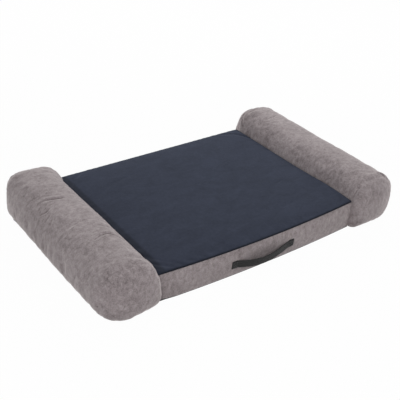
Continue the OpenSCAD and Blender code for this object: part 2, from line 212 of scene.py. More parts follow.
def eased(x, a, b):
    """Rises smoothly from 0 at a to 1 at b."""
    t = np.clip((x - a) / (b - a), 0, 1)
    return t * t * (3 - 2 * t)


def bell(d, width):
    """1 at 0, falling to nothing at about twice the width on either side."""
    return np.exp(-((d / width) ** 2))


def zip_out(side):
    """The way that a roll's zip faces, 46 degrees below the horizontal."""
    return Vector((side * math.cos(math.radians(46)), 0, -math.sin(math.radians(46))))


def points_of(piece, what="co"):
    """The places of the points of a piece, or their normals, as the rows of an array."""
    values = np.empty(len(piece.data.vertices) * 3)
    piece.data.vertices.foreach_get(what, values)
    return values.reshape(-1, 3)


def put_points(piece, *places):
    """Moves the points of a piece to the rows of an array, or to the given x, y and z."""
    co = places[0] if len(places) == 1 else np.stack(np.broadcast_arrays(*places), 1)
    piece.data.vertices.foreach_set("co", np.ascontiguousarray(co).ravel())
    piece.data.update()


def edit(piece, operator, chosen=None, **settings):
    """Works in edit mode on the faces for which chosen is true, or on all of them."""
    only(piece)
    bpy.ops.object.mode_set(mode="EDIT")
    bpy.ops.mesh.select_mode(type="FACE")
    bpy.ops.mesh.select_all(action="DESELECT" if chosen else "SELECT")
    if chosen:
        bpy.ops.object.mode_set(mode="OBJECT")
        for face in piece.data.polygons:
            face.select = bool(chosen(face))
        bpy.ops.object.mode_set(mode="EDIT")
    operator(**settings)
    bpy.ops.object.mode_set(mode="OBJECT")


def apply_modifier(piece, kind, **settings):
    """Adds a modifier with its settings and applies it."""
    only(piece)
    modifier = piece.modifiers.new(kind.title(), kind)
    for name, value in settings.items():
        setattr(modifier, name, value)
    bpy.ops.object.modifier_apply(modifier=modifier.name)


def thicken(piece, thickness, offset=-1):
    """Gives a sheet its thickness: inwards, or half to either side with an offset of 0."""
    apply_modifier(piece, "SOLIDIFY", thickness=thickness, offset=offset)


def refine(piece):
    """Quarters every face and rounds the form, but keeps the corners of a sheet."""
    apply_modifier(piece, "SUBSURF", levels=1, render_levels=1, boundary_smooth="PRESERVE_CORNERS")


def grown(share, power=section_power):
    """Squares the round section: the sine or cosine of a superellipse."""
    return np.sign(share) * np.abs(share) ** (2 / power)


def swell(piece, held, pressure, looseness, out_cap, in_cap, frames=20):
    """Blows the cloth up like a filled cover, holding the points where held is true.

    looseness is how much larger the cloth is than the form. No point moves out of the form
    by more than out_cap or into it by more than in_cap, because the filling carries it.
    """
    before = points_of(piece)
    out = points_of(piece, "normal")
    pins = piece.vertex_groups.new(name="held")
    pins.add([int(i) for i in np.where(held)[0]], 1, "REPLACE")
    only(piece)
    cover = piece.modifiers.new("Cloth", "CLOTH")
    settings = cover.settings
    settings.quality = 6
    settings.mass = 0.25
    settings.tension_stiffness = 15
    settings.compression_stiffness = 15
    settings.shear_stiffness = 6
    settings.bending_stiffness = 0.6
    settings.use_pressure = True
    settings.uniform_pressure_force = pressure
    settings.shrink_min = -looseness
    settings.vertex_group_mass = pins.name
    settings.effector_weights.gravity = 0
    cover.collision_settings.use_collision = False
    cover.point_cache.frame_start = 1
    cover.point_cache.frame_end = frames
    for number in range(1, frames + 1):
        scene.frame_set(number)
    bpy.ops.object.modifier_apply(modifier=cover.name)
    scene.frame_set(1)
    piece.vertex_groups.clear()
    move = points_of(piece) - before
    lift = (move * out).sum(1)
    kept = np.where(lift > 0, out_cap * np.tanh(lift / out_cap), in_cap * np.tanh(lift / in_cap))
    side = move - out * lift[:, None]
    far = np.linalg.norm(side, axis=1)
    side *= np.minimum(1, out_cap / np.maximum(far, 1e-9))[:, None]
    put_points(piece, before + side + out * kept[:, None])


def roll_form(at_nose, drawn_in, corner=section_power):
    """The right roll as one closed form. Its nose is drawn in by at_nose, and the rest by
    what drawn_in gives for a place along the roll and a turn round it. corner squares the
    lower inner side of its front end, where the filling is packed against the mattress."""
    form = made(bpy.ops.mesh.primitive_uv_sphere_add, segments=96, ring_count=96, radius=1)
    ball = points_of(form)
    height = np.arcsin(np.clip(ball[:, 2], -1, 1)) / (math.pi / 2)
    turn = np.arctan2(ball[:, 1], ball[:, 0])
    c, s = np.cos(turn), np.sin(turn)
    along = np.abs(height)
    tube_share = 0.78  # share of the rings that lie on the straight tube
    round_end = np.clip((along - tube_share) / (1 - tube_share), 0, 1) * math.pi / 2
    reach = np.sin(round_end) ** (2 / end_power)
    size = np.where(along > 1 - 1e-6, 0, np.cos(round_end) ** (2 / end_power))
    y = np.where(along < tube_share, along / tube_share * tube_y, tube_y + reach * (end_depth - at_nose))
    inset = drawn_in(y, turn)
    y *= np.sign(height)
    low_inside = np.clip(np.minimum(-c, -s) * 2.2, 0, 1) * eased(-y, 0.22, 0.29)
    power = section_power + (corner - section_power) * low_inside
    x = roll_x + grown(c, power) * (half_w - inset) * size - lean_in * (1 - size) * half_w
    z = roll_z + grown(s, power) * (half_h - inset) * size - lean_down * (1 - size) * half_h
    put_points(form, x, y, np.maximum(z, 0))
    return form


def cover_form(seed, corner):
    """The right roll's cover as one closed form, a little too small and then swollen."""
    slack = 0.0016  # the swelling makes up for it

    def drawn_in(y, turn):
        near_zip = 1 - eased(np.abs(turn - zip_turn) * half_w, 0.010, 0.030)
        from_seam = np.abs(y - seam_y)
        at_seam = 0.0015 * (1 - eased(from_seam, 0, 0.015))
        return slack * (1 - near_zip) * eased(from_seam, 0, 0.02) + at_seam

    form = roll_form(slack, drawn_in, corner)
    apply_modifier(form, "REMESH", mode="VOXEL", voxel_size=0.006)
    co = points_of(form)
    rough = np.random.default_rng(seed).normal(0, 0.0003, co.shape)
    put_points(form, co + rough)
    turn = np.arctan2((co[:, 2] - roll_z) / half_h, (co[:, 0] - roll_x) / half_w)
    at_seam = np.abs(np.abs(co[:, 1]) - seam_y) < 0.0032
    at_zip = (np.abs(turn - zip_angle) * half_w < 0.010) & (np.abs(co[:, 1]) < seam_y)
    at_floor = co[:, 2] < 0.003
    swell(form, at_seam | at_zip | at_floor, pressure=4, looseness=0.022, out_cap=0.006, in_cap=0.0015)
    refine(form)
    co = points_of(form)
    co[:, 2] = np.maximum(co[:, 2], 0)
    put_points(form, co)
    return form


def near_line(co, line):
    """The way to each point from the nearest place of a line, and how far along that is."""
    away = np.full((len(co), 3), 9.0)
    share = np.zeros(len(co))
    line = np.array(line)
    lengths = np.linalg.norm(np.diff(line, axis=0), axis=1)
    done = 0
    for a, b, length in zip(line[:-1], line[1:], lengths):
        t = np.clip((co - a) @ (b - a) / length**2, 0, 1)
        to_point = co - a - t[:, None] * (b - a)
        closer = np.linalg.norm(to_point, axis=1) < np.linalg.norm(away, axis=1)
        away[closer] = to_point[closer]
        share[closer] = (done + t[closer] * length) / lengths.sum()
        done += length
    return away, share


def near_crease(co, no, line):
    """How far each point is from a crease, and 1 in its middle that runs out to its ends."""
    away, share = near_line(co, line)
    # the cloth may have swollen off the measured line, so only the way along it counts
    d = np.linalg.norm(away - (away * no).sum(1)[:, None] * no, axis=1)
    d += (np.linalg.norm(away, axis=1) > 0.03) * 9
    return d, np.sin(math.pi * np.clip(share, 0.02, 0.98)) ** 0.7


def press_crease(co, no, line, depth, width):
    """Presses a crease along a line: a sharp fold in a soft dent, with a fold lifted beside it."""
    d, ends = near_crease(co, no, line)
    fold = 0.6 * bell(d, 0.35 * width) + 0.4 * bell(d, width)
    beside = 0.25 * bell(d - 1.4 * width, 0.7 * width)
    return co - no * (depth * ends * (fold - beside))[:, None]


def quarter_near(piece, lines, reach):
    """Quarters the faces near the lines, so that a narrow crease keeps its shape."""
    centres = np.array([face.center for face in piece.data.polygons])
    ways = [np.linalg.norm(near_line(centres, line)[0], axis=1) for line in lines]
    near = np.min(ways, axis=0) < reach
    edit(piece, bpy.ops.mesh.subdivide, lambda face: near[face.index], number_cuts=1, smoothness=0)


# Creases of the photographed rolls, measured on the surface, with their depth and width
left_creases = [
    ([(-0.552, 0.111, 0.165), (-0.518, 0.101, 0.168), (-0.480, 0.088, 0.168)], 0.0040, 0.0070),
    ([(-0.533, -0.063, 0.167), (-0.508, -0.056, 0.168)], 0.0030, 0.0050),
    ([(-0.522, -0.166, 0.168), (-0.490, -0.151, 0.168), (-0.467, -0.149, 0.167),
      (-0.450, -0.160, 0.164), (-0.428, -0.184, 0.156)], 0.0044, 0.0070),
    ([(-0.562, 0.098, 0.160), (-0.580, 0.085, 0.148)], 0.0026, 0.0045),
    ([(-0.540, 0.063, 0.166), (-0.562, 0.060, 0.160), (-0.581, 0.070, 0.148)], 0.0030, 0.0050),
    ([(-0.556, 0.040, 0.163), (-0.580, 0.028, 0.148)], 0.0024, 0.0050),
    ([(-0.558, 0.024, 0.162), (-0.582, -0.005, 0.145)], 0.0024, 0.0050),
    ([(-0.571, -0.300, 0.156), (-0.568, -0.318, 0.153), (-0.560, -0.336, 0.147)], 0.0034, 0.0055),
    ([(-0.408, -0.250, 0.128), (-0.420, -0.285, 0.145)], 0.0026, 0.0080),
]
right_creases = [
    ([(0.455, 0.220, 0.166), (0.493, 0.218, 0.168), (0.530, 0.226, 0.167)], 0.0030, 0.0060),
    ([(0.404, 0.270, 0.118), (0.408, 0.300, 0.128), (0.424, 0.322, 0.148)], 0.0034, 0.0070),
    ([(0.403, -0.180, 0.112), (0.410, -0.205, 0.132)], 0.0024, 0.0070),
    ([(0.535, -0.292, 0.167), (0.548, -0.311, 0.163), (0.560, -0.324, 0.153),
      (0.573, -0.331, 0.140)], 0.0048, 0.0055),
    ([(0.402, -0.320, 0.104), (0.407, -0.321, 0.125), (0.417, -0.322, 0.142),
      (0.434, -0.323, 0.155)], 0.0026, 0.0045),
]
# Where the filling has settled away from the even form: a place, its reach, and the shift
left_shifts = [
    ((-0.597, 0.335, 0.092), 0.060, (0.0110, -0.002, 0)),
    ((-0.595, 0.170, 0.040), 0.080, (-0.0025, 0, 0)),
    ((-0.592, 0.060, 0.035), 0.090, (-0.0055, 0, 0)),
    ((-0.592, -0.080, 0.035), 0.090, (-0.0050, 0, 0)),
    ((-0.592, -0.210, 0.035), 0.080, (-0.0045, 0, 0)),
    ((-0.535, -0.348, 0.015), 0.045, (0, -0.005, 0)),
    ((-0.425, 0.345, 0.125), 0.045, (0.011, 0.003, 0)),
    ((-0.405, 0.295, 0.112), 0.032, (0.009, 0, 0)),
    ((-0.550, 0.345, 0.155), 0.045, (0, 0, 0.004)),
    ((-0.500, -0.350, 0.012), 0.045, (0, -0.004, 0)),
    ((-0.405, -0.350, 0.008), 0.042, (0.010, 0.011, 0)),
    ((-0.405, -0.348, 0.055), 0.048, (0.009, 0, 0)),
]
right_shifts = [
    ((0.418, 0.348, 0.108), 0.045, (0.015, -0.002, 0)),
    ((0.480, 0.315, 0.160), 0.080, (0, 0, 0.012)),
    ((0.550, 0.160, 0.155), 0.080, (0, 0, 0.0020)),
    ((0.402, -0.200, 0.110), 0.045, (0.005, 0, 0)),
    ((0.595, -0.290, 0.105), 0.055, (-0.005, 0, 0)),
    ((0.403, -0.362, 0.055), 0.048, (-0.014, 0, 0)),
    ((0.405, -0.338, 0.006), 0.032, (-0.011, -0.001, -0.003)),
    ((0.490, -0.350, 0.015), 0.060, (0, -0.004, -0.002)),
]


def cut_along(piece, place, normal, near):
    """Cuts the faces for which near is true along a plane."""
    edit(piece, bpy.ops.mesh.bisect, near, plane_co=place, plane_no=normal)


def split_off(piece, chosen, name):
    """Parts the faces for which chosen is true from the piece, as a new piece."""
    edit(piece, bpy.ops.mesh.separate, chosen, type="SELECTED")
    part = [o for o in bpy.context.selected_objects if o != piece][0]
    part.name = part.data.name = name
    return part


def velour(name, ribs):
    """Short-pile velour, dyed taupe: a matt pile that is crushed into lighter and darker
    patches, catches light at a glancing angle, and is ribbed across the given direction."""
    material, tree = new_material(name)
    place = add(tree, "TexCoord").outputs["Object"]
    # streaks run along the ribs, so the pattern is squeezed across them
    streaky = add(tree, "Mapping", {"Vector": place, "Scale": [1 + 0.3 * r for r in ribs]})
    patch = add(tree, "TexNoise", {"Vector": streaky, "Scale": 62, "Detail": 5, "Roughness": 0.6,
                "Distortion": 0.4})
    broad = add(tree, "TexNoise", {"Vector": place, "Scale": 11, "Detail": 4})
    fine = add(tree, "TexNoise", {"Vector": streaky, "Scale": 260, "Detail": 3, "Roughness": 0.6})
    mixed = add(tree, "Mix", {"Factor": 0.3, "A": patch, "B": broad}, data_type="FLOAT")
    mixed = add(tree, "Mix", {"Factor": 0.38, "A": mixed, "B": fine}, data_type="FLOAT")
    tones = add(tree, "ValToRGB", {"Fac": mixed}, [(0.34, "#695f60"), (0.66, "#b3a9aa")])
    # ribs of the backing, 4 mm apart, which show faintly through the pile
    across = add(tree, "VectorMath", {0: place, 1: list(ribs)}, operation="DOT_PRODUCT")
    wave = add(tree, "Math", {0: across.outputs["Value"], 1: 2 * math.pi / 0.004}, operation="MULTIPLY")
    rib = add(tree, "Math", {0: wave}, operation="SINE")
    lift = add(tree, "Math", {0: rib, 1: 0.10, 2: fine}, operation="MULTIPLY_ADD")
    pile = add(tree, "Bump", {"Height": lift, "Strength": 0.55, "Distance": 0.0012})
    crush = add(tree, "Bump", {"Height": patch, "Strength": 0.5, "Distance": 0.002, "Normal": pile})
    # painted shade: where a piece stores it, the tones are darkened towards a dark taupe and the sheen is
    # taken away
    shade_share = add(tree, "Attribute", attribute_name="painted_shade")
    part = add(tree, "Math", {0: shade_share.outputs["Fac"], 1: 0.6}, operation="MULTIPLY")
    darker = add(tree, "Mix", {"Factor": part, 6: tones, 7: srgb("#3f393a")}, data_type="RGBA")
    sheen = add(tree, "Math", {0: 1.0, 1: part}, operation="SUBTRACT")
    skin = add(tree, "BsdfPrincipled", {"Base Color": darker.outputs[2], "Roughness": 0.95,
               "Specular IOR Level": 0.12, "Sheen Weight": sheen, "Sheen Roughness": 0.5,
               "Sheen Tint": srgb("#ddd5d4"), "Normal": crush})
    add(tree, "OutputMaterial", {"Surface": skin})
    return material


tube_velour = velour("taupe_velour_round_the_tube", (0, 1, 0))
front_velour = velour("taupe_velour_upright_ribs", (1, 0, 0))


def smooth(piece, degrees=60):
    """Shades the faces smoothly wherever they meet at less than this angle."""
    only(piece)
    bpy.ops.object.shade_smooth_by_angle(angle=math.radians(degrees))


def wear(piece, material, body, node):
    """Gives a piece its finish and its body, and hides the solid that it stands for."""
    piece.data.materials.clear()
    piece.data.materials.append(material)
    if body:
        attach(piece, body)
    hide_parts(node)


def store(piece, name, values):
    """Keeps a number at each point of a piece, which its material can read."""
    numbers = piece.data.attributes.new(name, "FLOAT", "POINT")
    numbers.data.foreach_set("value", np.ascontiguousarray(values, dtype=np.float32))


def dress_roll(side, creases, shifts, seed, corner):
    """Finishes one roll: seams, creases, the zip opening, and its three pieces of cloth.
    Gives back the closed form, which the layers inside have to stay within."""
    word = "right" if side > 0 else "left"
    roll = cover_form(seed, corner)
    if side < 0:
        co = points_of(roll)
        co[:, 0] *= -1
        put_points(roll, co)
        edit(roll, bpy.ops.mesh.flip_normals)
    for end in (-1, 1):
        cut_along(roll, (0, end * seam_y, 0), (0, 1, 0),
                  lambda face: abs(face.center.y - end * seam_y) < 0.01)
    # opening of the zip: two cuts along it, and one across it at either end
    low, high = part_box(word + "_zip_chain")
    middle = Vector(((low.x + high.x) / 2, 0, (low.z + high.z) / 2))
    zip_end = high.y + 0.006  # the opening is this much longer than the chain
    half_gap = 0.0048  # half the width of the opening
    out = zip_out(side)
    round_it = Vector((out.z, 0, -out.x))

    def near_zip(face, reach=0.02):
        away = face.center - middle
        return away.dot(out) > -0.02 and abs(away.dot(round_it)) < reach

    for step in (-1, 1):
        cut_along(roll, middle + round_it * half_gap * step, round_it, near_zip)
        cut_along(roll, (0, step * zip_end, 0), (0, 1, 0),
                  lambda face: near_zip(face) and abs(abs(face.center.y) - zip_end) < 0.01)
    lines = [crease[0] for crease in creases]
    quarter_near(roll, lines, 0.016)
    quarter_near(roll, lines, 0.008)
    co = points_of(roll)
    no = points_of(roll, "normal")
    for line, depth, width in creases:
        co = press_crease(co, no, line, depth, width)
    # the zip keeps its place where the filling has shifted
    along_zip = Vector((0, zip_end, 0))
    from_zip = np.linalg.norm(near_line(co, [middle - along_zip, middle + along_zip])[0], axis=1)
    for middle_of_shift, reach, shift in shifts:
        d = np.linalg.norm(co - np.array(middle_of_shift), axis=1)
        moved = bell(d, reach) * eased(from_zip, 0.008, 0.050)
        co += moved[:, None] * np.array(shift)
    # each seam draws the cloth in, and gathers it into small puckers
    round_section = np.arctan2(co[:, 2] - roll_z, co[:, 0] - side * roll_x)
    for end in (-1, 1):
        d = np.abs(co[:, 1] - end * seam_y)
        gather = np.sin(round_section * 37 + 2.5 * np.sin(round_section * 5 + end + seed))
        draw = 0.0013 * bell(d, 0.0045) + 0.00045 * gather * bell(d, 0.012)
        draw *= np.minimum(1, np.maximum(co[:, 2], 0) / 0.01)
        co -= no * draw[:, None]
    co[:, 2] = np.maximum(co[:, 2], 0)
    put_points(roll, co)
    closed = BVHTree.FromPolygons([tuple(p) for p in co], [tuple(f.vertices) for f in roll.data.polygons])

    gap = split_off(roll, lambda face: near_zip(face, half_gap) and abs(face.center.y) < zip_end, "gap")
    bpy.data.objects.remove(gap)
    front = split_off(roll, lambda face: face.center.y < -seam_y, word + "_roll_front_panel")
    back = split_off(roll, lambda face: face.center.y > seam_y, word + "_roll_back_panel")
    roll.name = roll.data.name = word + "_roll_tube"
    for piece, node, material in (
        (roll, "_roll_cover", tube_velour),
        (front, "_roll_front_end", front_velour),
        (back, "_roll_back_end", front_velour),
    ):
        thicken(piece, pile_t)
        smooth(piece, 50)
        co = points_of(piece)
        no = points_of(piece, "normal")
        # painted shade: darker on the inner side low down, where the roll meets the mattress, fading out
        # towards the ends, and along the middle of each crease
        inner = 1 - eased(side * co[:, 0] - (roll_x - half_w), 0.008, 0.045)
        shade_share = 0.8 * inner * (1 - eased(co[:, 2], 0.098, 0.112))
        shade_share *= 1 - eased(np.abs(co[:, 1]), 0.28, 0.32)
        for line, depth, width in creases:
            d, ends = near_crease(co, no, line)
            shade_share += 110 * depth * ends * bell(d, 0.45 * width)
        store(piece, "painted_shade", np.minimum(shade_share, 1))
        wear(piece, material, "mattress", word + node)
    return closed


right_inside = dress_roll(1, right_creases, right_shifts, seed=5, corner=12)
left_inside = dress_roll(-1, left_creases, left_shifts, seed=9, corner=8)


# Flat part. A crowned panel of brushed microfibre is drawn over the foam. Its rim is turned
# under and sewn to the velour bands, and a black cloth closes the underside.
panel_low, panel_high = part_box("top_panel")
half_l = panel_high.x
back_y = panel_high.y
crown = 0.006  # how much higher the panel is in its middle
seam_z = panel_high.z - crown
corner_y = 0.325  # distance of the front corners from the middle
bulge_top = -panel_low.y - corner_y  # swell of the front edge in its middle
bulge_base = 0.013  # the same at the floor
band_puff = 0.0025  # how far a band swells between its seams
sheet_t = 0.0012  # thickness of the cloths of the flat part
front_draw = 0.0034  # how far the seam draws the panel's front edge in


def front_line(x, z):
    """Outside of the front band at a place along it and a height."""
    u = x / half_l
    t = z / seam_z
    bulge = bulge_base + (bulge_top - bulge_base) * t
    return -(corner_y + bulge * (1 - u * u) + 4 * band_puff * t * (1 - t) * (1 - u**8))


def between(low, high, share):
    """The place between low and high at a share that runs from -1 to 1."""
    return low + (high - low) * (share + 1) / 2


def grid(name, columns, rows, close=0.0):
    """A flat sheet of squares, and the places of its points both ways, from -1 to 1. With
    close above 0 they lie closer together towards the rim."""
    piece = made(bpy.ops.mesh.primitive_grid_add, x_subdivisions=columns, y_subdivisions=rows, size=2)
    piece.name = piece.data.name = name
    co = points_of(piece)
    put_points(piece, (1 - close) * co + close * np.sin(co * math.pi / 2))
    u, v = points_of(piece)[:, :2].T
    return piece, u, v


def on_rim(u, v):
    """True for the points of a sheet that lie on its rim."""
    return np.maximum(np.abs(u), np.abs(v)) > 0.999


def turn_under(piece, way, steps):
    """Extrudes the open rim in steps. way gives the direction at each place, and each step
    says how far along it and how far in depth, along the second direction, the rim goes."""
    for first, second in steps:
        only(piece)
        bpy.ops.object.mode_set(mode="EDIT")
        bpy.ops.mesh.select_mode(type="EDGE")
        bpy.ops.mesh.select_all(action="DESELECT")
        bpy.ops.mesh.select_non_manifold()
        bpy.ops.mesh.extrude_edges_move()
        bpy.ops.object.mode_set(mode="OBJECT")
        co = points_of(piece)
        rim = np.array([v.select for v in piece.data.vertices])
        a, b = way(co[rim])
        co[rim] += a * first + b * second
        put_points(piece, co)


def suede():
    """Brushed polyester microfibre, dyed navy: a very short nap that scatters light evenly,
    with faint lighter and darker strokes where it has been brushed either way."""
    material, tree = new_material("navy_brushed_microfibre")
    place = add(tree, "TexCoord").outputs["Object"]
    stretched = add(tree, "Mapping", {"Vector": place, "Scale": (1.0, 1.9, 1.0),
                    "Rotation": (0, 0, math.radians(25))})
    strokes = add(tree, "TexNoise", {"Vector": stretched, "Scale": 12, "Detail": 6, "Roughness": 0.6,
                  "Distortion": 0.6})
    nap = add(tree, "TexNoise", {"Vector": place, "Scale": 900, "Detail": 2})
    grain = add(tree, "TexNoise", {"Vector": place, "Scale": 110, "Detail": 4, "Roughness": 0.65})
    mixed = add(tree, "Mix", {"Factor": 0.45, "A": strokes, "B": grain}, data_type="FLOAT")
    tones = add(tree, "ValToRGB", {"Fac": mixed}, [(0.3, "#282c38"), (0.7, "#373c4b")])
    fine = add(tree, "Bump", {"Height": nap, "Strength": 0.25, "Distance": 0.0006})
    rough = add(tree, "Bump", {"Height": grain, "Strength": 0.25, "Distance": 0.0012, "Normal": fine})
    # painted shade: a dark line along the seams, and a darker strip beside the left roll
    seam = add(tree, "Attribute", attribute_name="painted_seam_shade")
    darker = add(tree, "Mix", {"Factor": seam.outputs["Fac"], 6: tones, 7: srgb("#0e0f13")},
                 data_type="RGBA")
    skin = add(tree, "BsdfPrincipled", {"Base Color": darker.outputs[2], "Roughness": 0.9,
               "Specular IOR Level": 0.15, "Sheen Weight": 0.22, "Sheen Roughness": 0.5,
               "Sheen Tint": srgb("#8f99ad"), "Normal": rough})
    add(tree, "OutputMaterial", {"Surface": skin})
    return material


navy = suede()
panel, u, v = grid("top_panel_cloth", 134, 112, 0.7)
front = front_line(u * half_l, seam_z)
rise = crown * (1 - u**4) * (1 - v**4)
put_points(panel, u * half_l, between(front, back_y, v), seam_z - 0.0015 + rise)
swell(panel, on_rim(u, v), pressure=1.2, looseness=0.006, out_cap=0.0035, in_cap=0.002)
refine(panel)
co = points_of(panel)
from_front = co[:, 1] - front_line(co[:, 0], seam_z)
from_side = np.maximum(half_l - np.abs(co[:, 0]), 0)
to_rim = np.maximum(np.minimum(from_front, back_y - co[:, 1]), 0)
# the seams draw the panel down, deepest at the rolls and in front, and it swells beside them
at_front = np.exp(-np.maximum(from_front, 0) / 0.0024)
co[:, 2] += 0.0024 - 0.0034 * np.exp(-to_rim / 0.0026) - 0.0018 * np.exp(-from_side / 0.0040)
co[:, 2] -= 0.0030 * at_front
co[:, 1] += front_draw * at_front
# the foam is pushed up beside the front half of the right roll
co[:, 2] += 0.0050 * np.exp(-(((half_l - co[:, 0]) / 0.035) ** 2) - ((co[:, 1] + 0.21) / 0.10) ** 2)
up = np.tile([0.0, 0, 1], (len(co), 1))
for line, depth, width in (
    ([(0.236, -0.110, 0.109), (0.262, -0.102, 0.109), (0.290, -0.094, 0.108)], 0.0016, 0.006),
    ([(-0.330, -0.250, 0.106), (-0.250, -0.215, 0.107), (-0.190, -0.205, 0.108)], 0.0009, 0.012),
    ([(0.050, -0.300, 0.105), (0.150, -0.240, 0.107), (0.300, -0.215, 0.107)], 0.0008, 0.014),
    ([(-0.360, 0.120, 0.106), (-0.260, 0.180, 0.107), (-0.120, 0.205, 0.108)], 0.0008, 0.014),
):
    co = press_crease(co, up, line, depth, width)
put_points(panel, co)


def panel_rim(places):
    """Towards the middle of the panel from each place of its rim, and downwards."""
    from_front = places[:, 1] - front_line(places[:, 0], seam_z)
    inward = np.zeros_like(places)
    inward[:, 0] = -np.sign(places[:, 0]) * (half_l - np.abs(places[:, 0]) < 0.004)
    inward[:, 1] = 1.0 * (from_front < 0.006) - 1.0 * (back_y - places[:, 1] < 0.004)
    return inward, np.tile([0.0, 0, -1], (len(places), 1))


turn_under(panel, panel_rim, [(0.0002, 0.0012), (0.0012, 0.0008), (0.0022, 0.0003)])
thicken(panel, sheet_t)
smooth(panel)
co = points_of(panel)
from_front = co[:, 1] - front_line(co[:, 0], seam_z) - front_draw
to_seam = np.maximum(np.minimum(from_front, half_l - np.abs(co[:, 0])), 0)
under_roll = 1 - eased(half_l + co[:, 0], 0.024, 0.036)
# painted shade for the navy: a dark line along the front and side seams, and a darker strip beside the
# left roll
store(panel, "painted_seam_shade", np.maximum(0.8 * bell(to_seam, 0.0018), 0.5 * under_roll))
wear(panel, navy, "mattress", "top_panel")

# Front band, held along its four seams and where the handle is sewn on
handle_x = -0.007
handle_z = 0.045
handle_l = 0.256
strap_w = 0.026
strap_end = 0.022  # length of a stitched end
band_low = 0.0008
band_high = seam_z - 0.0045


def foot(x):
    """How far the lower seam of the front stands clear of the floor near its left end."""
    return 0.008 * bell(x + half_l, 0.038)


band, u, v = grid("front_band_cloth", 134, 19, 0.7)
x = u * half_l
z = between(band_low + foot(x), band_high, v)
put_points(band, x, front_line(x, z), z)
at_end = np.abs(np.abs(x - handle_x) - (handle_l - strap_end) / 2) < strap_end / 2 + 0.002
at_end &= np.abs(z - handle_z) < strap_w / 2 + 0.002
swell(band, on_rim(u, v) | at_end, pressure=2.5, looseness=0.012, out_cap=0.0025, in_cap=0.001)
refine(band)
co = points_of(band)
from_top = band_high - co[:, 2]
from_foot = co[:, 2] - band_low - foot(co[:, 0])
from_side = half_l - np.abs(co[:, 0])
to_rim = np.maximum(np.minimum(from_foot, from_side), 0)
co[:, 1] += 0.0016 * np.exp(-to_rim / 0.003) + 0.0042 * np.exp(-np.maximum(from_top, 0) / 0.0030)
put_points(band, co)


def band_rim(places):
    """Into the mattress from each place of the band's rim, and away from its middle."""
    inward = np.tile([0.0, 1, 0], (len(places), 1))
    away = np.zeros_like(places)
    away[:, 2] = 1.0 * (places[:, 2] > band_high - 0.003)
    away[:, 2] -= 1.0 * (places[:, 2] < band_low + foot(places[:, 0]) + 0.003)
    return inward, away


turn_under(band, band_rim, [(0.0008, 0.0004), (0.0022, 0.0004)])
thicken(band, sheet_t)
smooth(band)
co = points_of(band)
# painted shadow of the handle, on the band behind and above the strap
behind = np.exp(-(((co[:, 0] - 0.005) / 0.090) ** 4) - ((co[:, 2] - 0.060) / 0.025) ** 2)
store(band, "painted_shade", 0.55 * behind)
wear(band, front_velour, "mattress", "front_band")

# Back bands, one above and one below the zip, sewn to each other beyond its ends
zip_z = (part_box("back_band_lower")[1].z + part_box("back_band_upper")[0].z) / 2
for node in ("back_band_upper", "back_band_lower"):
    low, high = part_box(node)
    strip, u, v = grid(node + "_cloth", 134, 9)
    x = -u * half_l
    closed = eased(np.abs(x), 0.338, 0.348)
    bottom = max(low.z, band_low)
    top = min(high.z, band_high)
    if low.z > zip_z:
        bottom += (zip_z + 0.0002 - bottom) * closed
    else:
        top += (zip_z - 0.0002 - top) * closed
    put_points(strip, x, back_y + band_puff * (1 - v**2), between(bottom, top, v))
    swell(strip, on_rim(u, v), pressure=2, looseness=0.01, out_cap=0.0015, in_cap=0.001)
    refine(strip)
    turn_under(strip, lambda p: (np.tile([0.0, -1, 0], (len(p), 1)), np.zeros_like(p)),
               [(0.0008, 0), (0.0020, 0)])
    thicken(strip, 0.0010)
    smooth(strip)
    wear(strip, front_velour, "mattress", node)


def base_cloth():
    """Black polyester cloth with rubber dots, 9 mm apart, that keep it from sliding."""
    material, tree = new_material("black_dotted_base_cloth")
    place = add(tree, "TexCoord").outputs["Object"]
    dots = add(tree, "TexVoronoi", {"Vector": place, "Scale": 110, "Randomness": 0}, feature="F1")
    raised = add(tree, "MapRange", {"Value": dots.outputs["Distance"], "From Min": 0.2,
                 "From Max": 0.27, "To Min": 1, "To Max": 0})
    weave = add(tree, "TexNoise", {"Vector": place, "Scale": 600, "Detail": 2})
    lift = add(tree, "Math", {0: weave, 1: 0.3, 2: raised}, operation="MULTIPLY_ADD")
    bump = add(tree, "Bump", {"Height": lift, "Strength": 0.6, "Distance": 0.0006})
    gloss = add(tree, "MapRange", {"Value": raised, "To Min": 0.92, "To Max": 0.45})
    skin = add(tree, "BsdfPrincipled", {"Base Color": srgb("#222225"), "Roughness": gloss,
               "Normal": bump})
    add(tree, "OutputMaterial", {"Surface": skin})
    return material


base, u, v = grid("base_cloth", 90, 74, 0.9)
x = u * (half_l - 0.001)
front = front_line(x, 0) + 0.0006
y = between(front, back_y, v)
# its front edge climbs to the lower seam of the band, which stands clear of the floor there
put_points(base, x, y, sheet_t + foot(x) * (1 - eased(y - front, 0, 0.0020)))
thicken(base, sheet_t)
smooth(base)
wear(base, base_cloth(), "mattress", "base_panel")


# Handle. One length of black polypropylene webbing, folded under at both ends and sewn to
# the front band. It bows out and hangs down in between, where a hand takes hold of it.
strap_t = 0.0018
strap_bow = 0.019  # how far its middle stands out from the band
strap_sag = 0.0079
strap_tilt = math.radians(-1.7)  # lean of its upper edge
strap_twist = math.radians(3.2)
off_band = 0.0004  # the ends lie this far off the cloth
free_half = handle_l / 2 - strap_end
swing_share = 0.040 / free_half  # the middle that swings without twisting
top_layer = off_band + 1.5 * strap_t  # middle of the upper layer, off the band


